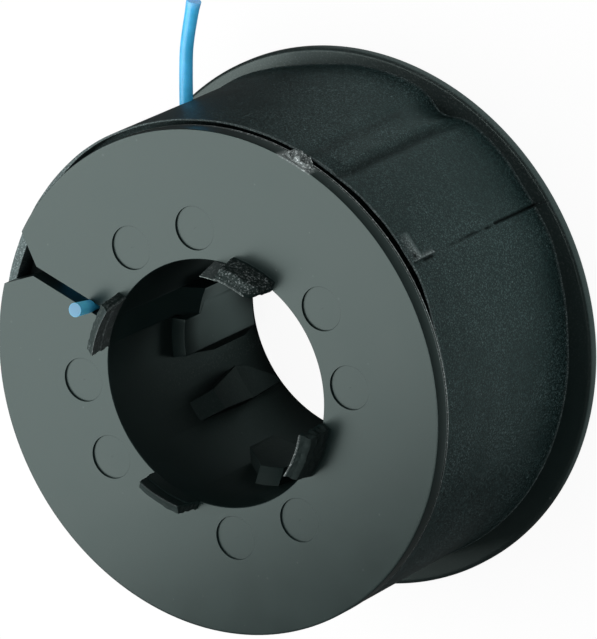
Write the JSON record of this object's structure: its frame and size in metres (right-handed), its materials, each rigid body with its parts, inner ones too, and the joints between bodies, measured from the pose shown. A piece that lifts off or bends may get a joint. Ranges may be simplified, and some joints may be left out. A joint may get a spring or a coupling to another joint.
{
  "type": "trimmer line spool",
  "caption": "Flanged black spool wound with round blue cutting line under a dark band, with drive teeth round a cammed bore, for a string trimmer head.",
  "frame": {"origin": "centre of the back of the large rear flange, where the spool stands on its end", "axes": "+Z along the spool's axis towards the face with the drive teeth, +X along the line slot in the front flange"},
  "size_m": [0.0766, 0.0766, 0.0413],
  "materials": {
    "spool": "satin moulded black plastic",
    "cutting_line": "smooth blue nylon line",
    "line_band": "matt grainy black band"
  },
  "bodies": {
    "root": {"spool": "spool", "cutting_line": "cutting_line", "line_band": "line_band"}
  },
  "joints": []
}
